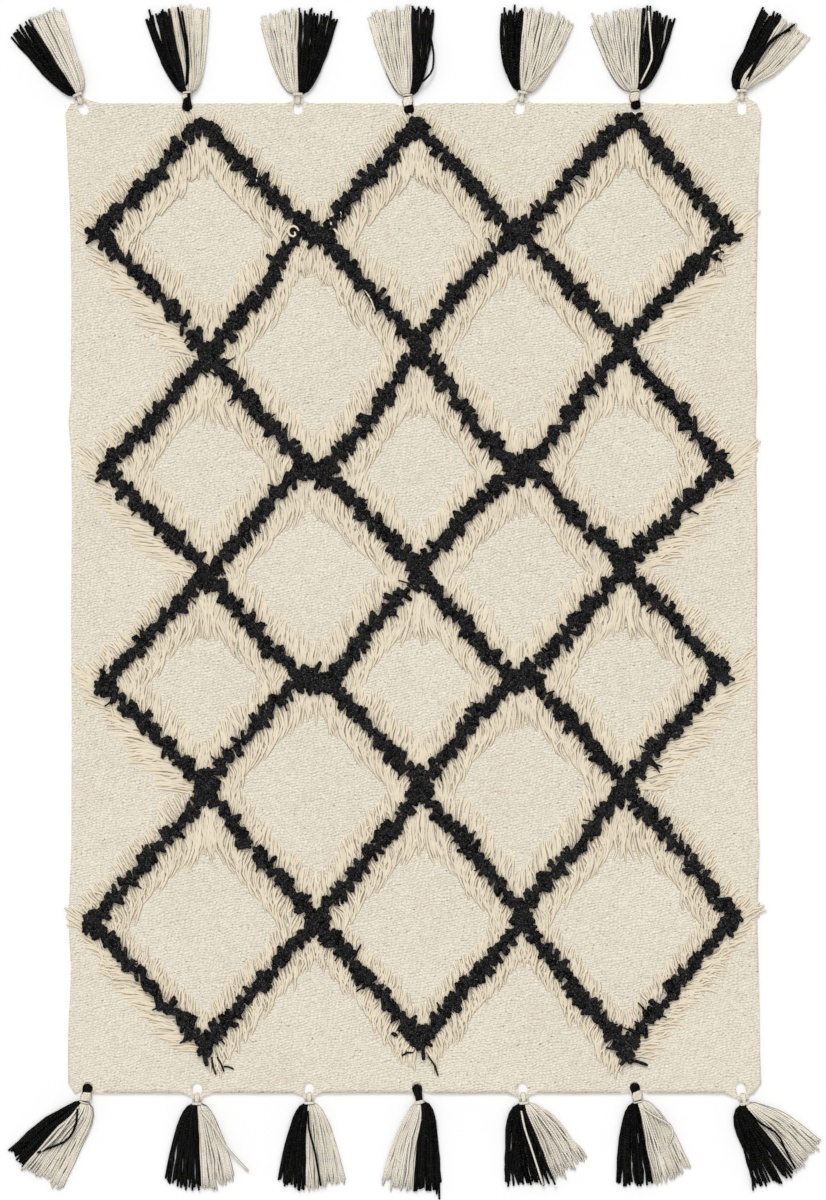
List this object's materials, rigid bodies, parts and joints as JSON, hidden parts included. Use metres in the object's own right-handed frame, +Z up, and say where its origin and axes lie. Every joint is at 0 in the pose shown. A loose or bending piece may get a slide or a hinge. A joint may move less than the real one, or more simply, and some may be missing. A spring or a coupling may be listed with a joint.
{
  "type": "kilim rug",
  "caption": "Rectangular flat-woven wool rug with a raised shaggy diamond lattice, combed pile beside it, and two-colour tassels looped through eyelets in both end hems.",
  "frame": {"origin": "middle of the footprint, on the floor under the rug", "axes": "+Y along the rug's length, +X across its width, +Z up out of the pile"},
  "size_m": [1.4186, 2.0804, 0.017],
  "materials": {
    "wool_ground": "matt flat-woven undyed wool with a fine grain and dark flecks",
    "wool_cream": "matt undyed wool yarn, combed flat",
    "wool_charcoal": "matt charcoal wool yarn"
  },
  "bodies": {
    "root": {"ground_cloth": "wool_ground", "pile_cream": "wool_cream", "pile_black": "wool_charcoal", "tassel_top_1_black": "wool_charcoal", "tassel_top_1_cream": "wool_cream", "tassel_top_1_knot": "wool_cream", "tassel_top_2_black": "wool_charcoal", "tassel_top_2_cream": "wool_cream", "tassel_top_2_knot": "wool_cream", "tassel_top_3_black": "wool_charcoal", "tassel_top_3_cream": "wool_cream", "tassel_top_3_knot": "wool_cream", "tassel_top_4_black": "wool_charcoal", "tassel_top_4_cream": "wool_cream", "tassel_top_4_knot": "wool_cream", "tassel_top_5_black": "wool_charcoal", "tassel_top_5_cream": "wool_cream", "tassel_top_5_knot": "wool_cream", "tassel_top_6_black": "wool_charcoal", "tassel_top_6_cream": "wool_cream", "tassel_top_6_knot": "wool_cream", "tassel_top_7_black": "wool_charcoal", "tassel_top_7_cream": "wool_cream", "tassel_top_7_knot": "wool_cream", "tassel_bottom_1_black": "wool_charcoal", "tassel_bottom_1_cream": "wool_cream", "tassel_bottom_1_knot": "wool_cream", "tassel_bottom_2_black": "wool_charcoal", "tassel_bottom_2_cream": "wool_cream", "tassel_bottom_2_knot": "wool_cream", "tassel_bottom_3_black": "wool_charcoal", "tassel_bottom_3_cream": "wool_cream", "tassel_bottom_3_knot": "wool_cream", "tassel_bottom_4_black": "wool_charcoal", "tassel_bottom_4_cream": "wool_cream", "tassel_bottom_4_knot": "wool_cream", "tassel_bottom_5_black": "wool_charcoal", "tassel_bottom_5_cream": "wool_cream", "tassel_bottom_5_knot": "wool_cream", "tassel_bottom_6_black": "wool_charcoal", "tassel_bottom_6_cream": "wool_cream", "tassel_bottom_6_knot": "wool_cream", "tassel_bottom_7_black": "wool_charcoal", "tassel_bottom_7_cream": "wool_cream", "tassel_bottom_7_knot": "wool_cream"}
  },
  "joints": []
}
